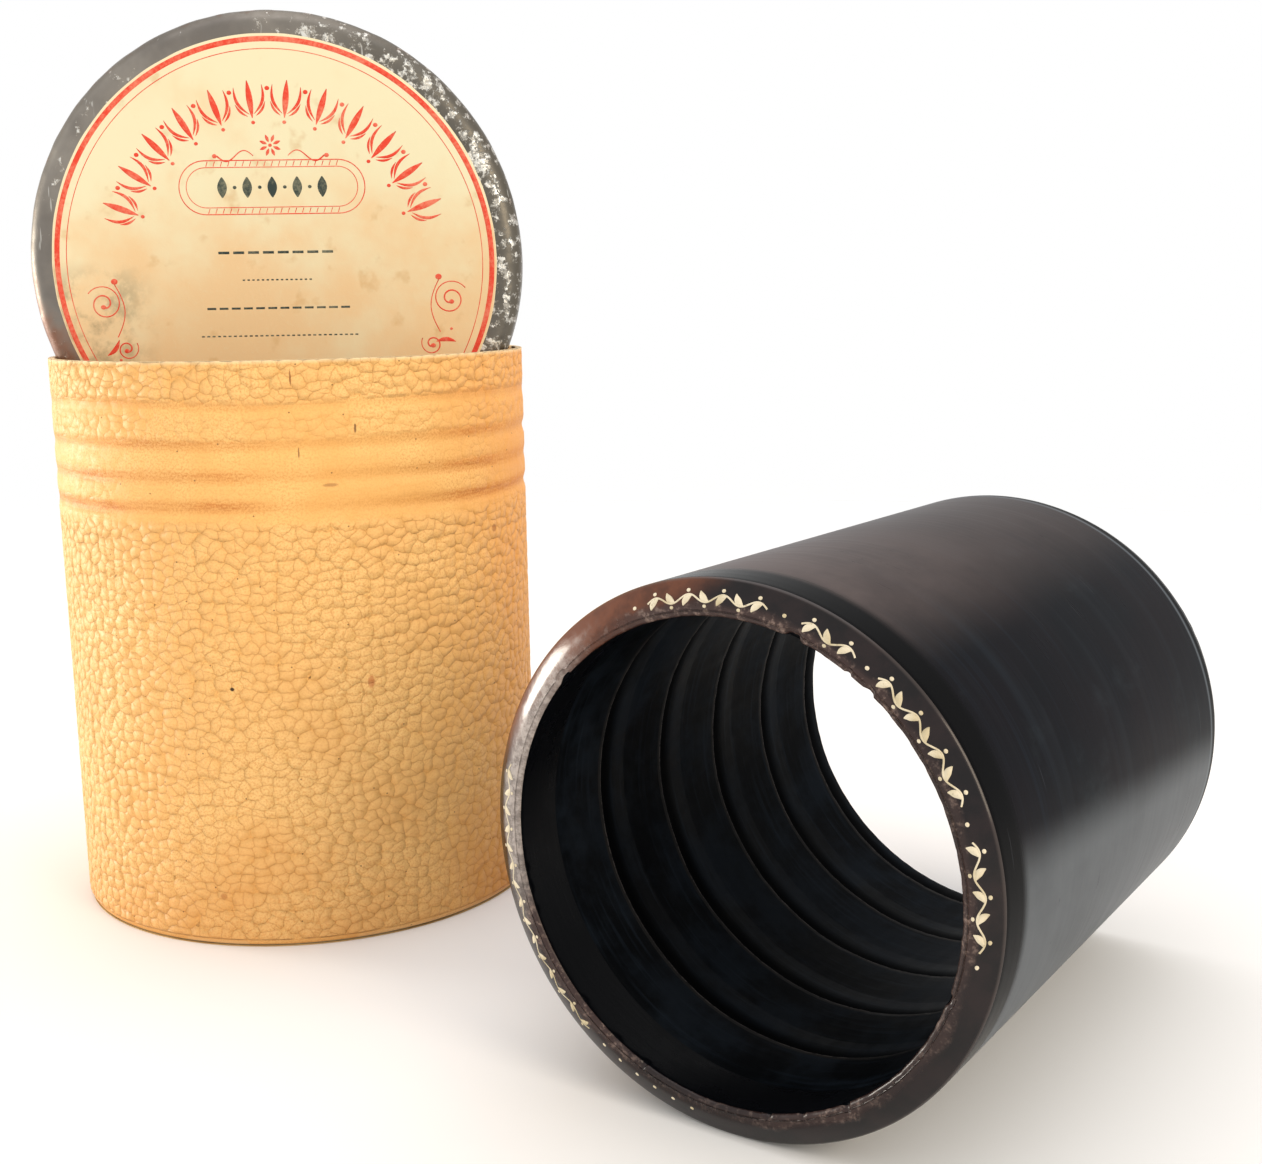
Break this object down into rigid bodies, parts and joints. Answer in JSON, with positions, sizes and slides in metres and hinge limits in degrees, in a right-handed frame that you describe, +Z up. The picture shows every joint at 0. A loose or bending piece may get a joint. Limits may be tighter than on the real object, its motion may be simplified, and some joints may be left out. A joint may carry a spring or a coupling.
{
  "type": "phonograph cylinder",
  "caption": "Moulded wax cylinder record with a ribbed bore, lying beside its embossed round carton, whose tinplate lid stands on edge in the mouth.",
  "frame": {"origin": "centre of the carton's underside, on the surface that it stands on", "axes": "+Z up, along the carton's axis; +Y along the record's axis, from its title end to its plain end; the record lies on the +X side of the carton"},
  "size_m": [0.2409, 0.112, 0.1899],
  "materials": {
    "record_wax": "satin moulded black wax, browner and rubbed on the title rim",
    "mark_paste": "dry cream filling",
    "carton_board": "plain wound board",
    "pebble_paper": "embossed pebble grain, waxed, rubbed on the rolled grooves",
    "plain_paper": "plain wrapping paper",
    "cotton": "soft unbleached cotton",
    "tinplate": "dulled tinplate with bright rubs and a little rust",
    "label_paper": "aged printed paper"
  },
  "bodies": {
    "carton": {"board_tube": "carton_board", "cover_paper": "pebble_paper", "cotton_lining": "cotton", "base_disc": "carton_board", "base_paper": "plain_paper", "base_pad": "cotton"},
    "lid": {"lid_shell": "tinplate", "lid_label": "label_paper", "lid_pad": "cotton"},
    "record": {"record_body": "record_wax", "title_marks": "mark_paste"}
  },
  "joints": [
    {"name": "lid_lift", "type": "slide", "parent": "carton", "child": "lid", "axis": [0, 0, 1], "range_m": [0, 0.08]},
    {"name": "record_spin", "type": "hinge", "parent": "carton", "child": "record", "pos_m": [0.1452, 0, 0.0445], "axis": [0, 1, 0], "continuous": true}
  ]
}
